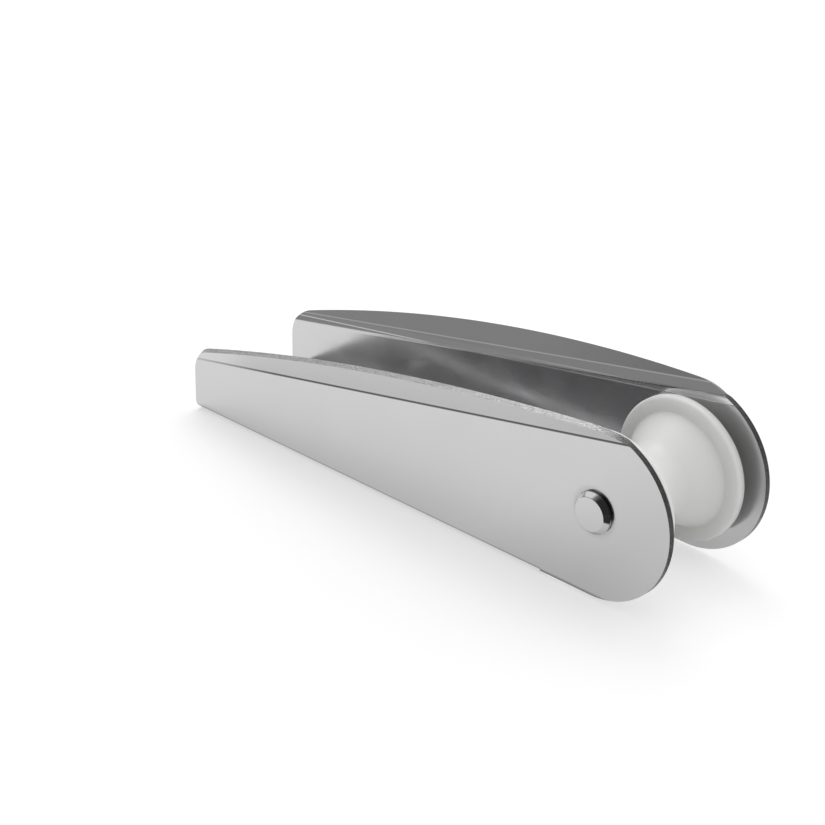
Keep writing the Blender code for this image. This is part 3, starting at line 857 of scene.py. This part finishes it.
def build_floor():
    """A pale floor that shows white and keeps the object's shadow; in gloss it dims toward the front."""
    mesh = bpy.data.meshes.new("floor")
    half = STUDIO_FLOOR_HALF
    corners = [(-half, -half, 0.0), (half, -half, 0.0), (half, half, 0.0), (-half, half, 0.0)]
    mesh.from_pydata(corners, [], [(0, 1, 2, 3)])
    floor = bpy.data.objects.new("floor", mesh)
    bpy.context.scene.collection.objects.link(floor)
    floor.location.z = -STUDIO_FLOOR_DROP
    material, tree, shader = material_tree("pale_floor", FLOOR_COLOUR, FLOOR_ROUGHNESS, metallic=0.0)
    parts = object_parts(tree)
    slope = spread(tree, parts["X"], 0.0, FLOOR_SLIGHT_DIM, *FLOOR_SLIGHT_FROM_TO)
    ahead = spread(tree, parts["X"], 0.0, 1.0, *FLOOR_DIM_FROM_TO)
    across = spread(tree, parts["Y"], 1.0, FLOOR_DIM_PORT_SHARE, *FLOOR_DIM_ACROSS)
    ahead = maths(tree, "MULTIPLY", ahead, across)
    rays = node(tree, "ShaderNodeLightPath")
    dim = maths(tree, "MULTIPLY", maths(tree, "MAXIMUM", slope, ahead), rays.outputs["Is Glossy Ray"])
    seen = seen_rays(tree)
    colour = blend(tree, seen, FLOOR_COLOUR, FLOOR_SEEN_COLOUR)
    tree.links.new(blend(tree, dim, colour, FLOOR_DIM_COLOUR), shader.inputs["Base Color"])
    lift = spread(tree, dim, FLOOR_LIFT, 0.0, 0.0, 1.0)
    glow = node(tree, "ShaderNodeEmission")
    tree.links.new(maths(tree, "MULTIPLY", seen, lift), glow.inputs["Strength"])
    both = node(tree, "ShaderNodeAddShader")
    tree.links.new(shader.outputs[0], both.inputs[0])
    tree.links.new(glow.outputs[0], both.inputs[1])
    output = tree.nodes["Material Output"]
    tree.links.new(both.outputs[0], output.inputs["Surface"])
    mesh.materials.append(material)


def build_world():
    """White behind the object, a soft light overhead and a dimmer room around, seen in gloss."""
    world = bpy.data.worlds.new("studio")
    bpy.context.scene.world = world
    world.use_nodes = True
    tree = world.node_tree
    background = tree.nodes["Background"]
    background.inputs["Color"].default_value = (1.0, 1.0, 1.0, 1.0)
    softbox = spread(tree, toward(tree, SOFTBOX_SIDE), 0.0, 1.0, *SOFTBOX_EDGE)
    backdrop = spread(tree, toward(tree, BACKDROP_SIDE), 0.0, 1.0, *BACKDROP_EDGE)
    wall_top = spread(tree, toward(tree, UP), 1.0, 0.0, *WALL_TOP_EDGE)
    bright = maths(tree, "MAXIMUM", softbox, maths(tree, "MULTIPLY", backdrop, wall_top))
    unlit = spread(tree, toward(tree, FORWARD), ROOM_LEVEL, DARK_ROOM_LEVEL, *DARK_ROOM_EDGE)
    corner = spread(tree, toward(tree, DARK_CORNER_SIDE), 1.0, DARK_CORNER_SHARE, *DARK_CORNER_EDGE)
    room = maths(tree, "MAXIMUM", maths(tree, "MULTIPLY", unlit, corner), bright)
    rays = node(tree, "ShaderNodeLightPath")
    glossy = rays.outputs["Is Glossy Ray"]
    mirrored = maths(tree, "MULTIPLY", glossy, room)
    fill = spread(tree, toward(tree, FILL_SIDE), FILL_WEAK, FILL_STRONG, -1.0, 1.0)
    plain = maths(tree, "MULTIPLY", maths(tree, "SUBTRACT", 1.0, glossy), fill)
    clear = maths(tree, "MAXIMUM", rays.outputs["Is Camera Ray"], rays.outputs["Is Transmission Ray"])
    strength = maths(tree, "MAXIMUM", maths(tree, "ADD", mirrored, plain), clear)
    tree.links.new(strength, background.inputs["Strength"])


def build_lamp(name, place, aim, size, power):
    """A large soft lamp."""
    data = bpy.data.lights.new(name, "AREA")
    data.shape = "SQUARE"
    data.size = size
    data.energy = power
    lamp = bpy.data.objects.new(name, data)
    bpy.context.scene.collection.objects.link(lamp)
    lamp.location = place
    lamp.rotation_mode = "QUATERNION"
    lamp.rotation_quaternion = (Vector(aim) - Vector(place)).to_track_quat("-Z", "Y")


def build_camera():
    """The photograph's viewing angle."""
    flat_right = Vector((math.cos(CAMERA_TURN), math.sin(CAMERA_TURN), 0.0))
    forward = Vector((
        -math.sin(CAMERA_TURN) * math.cos(CAMERA_PITCH),
        math.cos(CAMERA_TURN) * math.cos(CAMERA_PITCH),
        -math.sin(CAMERA_PITCH),
    ))
    flat_up = flat_right.cross(forward)
    right = math.cos(CAMERA_ROLL) * flat_right + math.sin(CAMERA_ROLL) * flat_up
    up = math.cos(CAMERA_ROLL) * flat_up - math.sin(CAMERA_ROLL) * flat_right
    data = bpy.data.cameras.new("photo_view")
    data.sensor_width = CAMERA_SENSOR
    data.lens = CAMERA_LENS
    data.clip_start = CAMERA_NEAR
    data.clip_end = CAMERA_FAR
    camera = bpy.data.objects.new("photo_view", data)
    bpy.context.scene.collection.objects.link(camera)
    offset = CAMERA_ASIDE * right + CAMERA_ABOVE * up + CAMERA_DISTANCE * forward
    camera.location = CAMERA_ANCHOR - offset
    camera.rotation_mode = "QUATERNION"
    camera.rotation_quaternion = Matrix((right, up, -forward)).transposed().to_quaternion()
    bpy.context.scene.camera = camera


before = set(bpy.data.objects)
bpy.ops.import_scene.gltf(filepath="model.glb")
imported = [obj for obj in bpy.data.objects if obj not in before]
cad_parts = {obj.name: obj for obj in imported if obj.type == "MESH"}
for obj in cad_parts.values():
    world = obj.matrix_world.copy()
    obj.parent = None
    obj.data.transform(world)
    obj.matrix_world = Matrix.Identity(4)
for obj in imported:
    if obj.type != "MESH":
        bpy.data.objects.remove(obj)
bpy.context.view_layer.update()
bpy.context.scene.view_settings.view_transform = "Standard"

build_channel(polished_sheet(), cut_edge())
build_roller(white_nylon())
bush_finish = bearing_plastic("bush_plastic", BUSH_COLOUR)
thrust_finish = bearing_plastic("thrust_plastic", THRUST_COLOUR)
thrust_thickness = INSIDE_HALF - ROLLER_HALF - 3 * FIT - BUSH_FLANGE_THICKNESS
thrust_start = INSIDE_HALF - FIT - thrust_thickness
for side_name, side_sign in (("port", 1), ("starboard", -1)):
    build_bush("bush_" + side_name, side_sign, bush_finish)
    build_ring("thrust_washer_" + side_name, BUSH_FLANGE_RADIUS, thrust_start, thrust_thickness,
               side_sign, thrust_finish)
build_axle_pin(turned_steel("turned_steel", *PIN_STEEL))
build_ring("pin_washer", WASHER_RADIUS, OUTSIDE_HALF + FIT, WASHER_THICKNESS, 1,
           turned_steel("washer_steel", *WASHER_STEEL))
build_split_pin(turned_steel("wire_steel", *WIRE_STEEL))

build_floor()
build_world()
build_lamp("key", KEY_PLACE, KEY_AIM, KEY_SIZE, KEY_POWER)
build_camera()
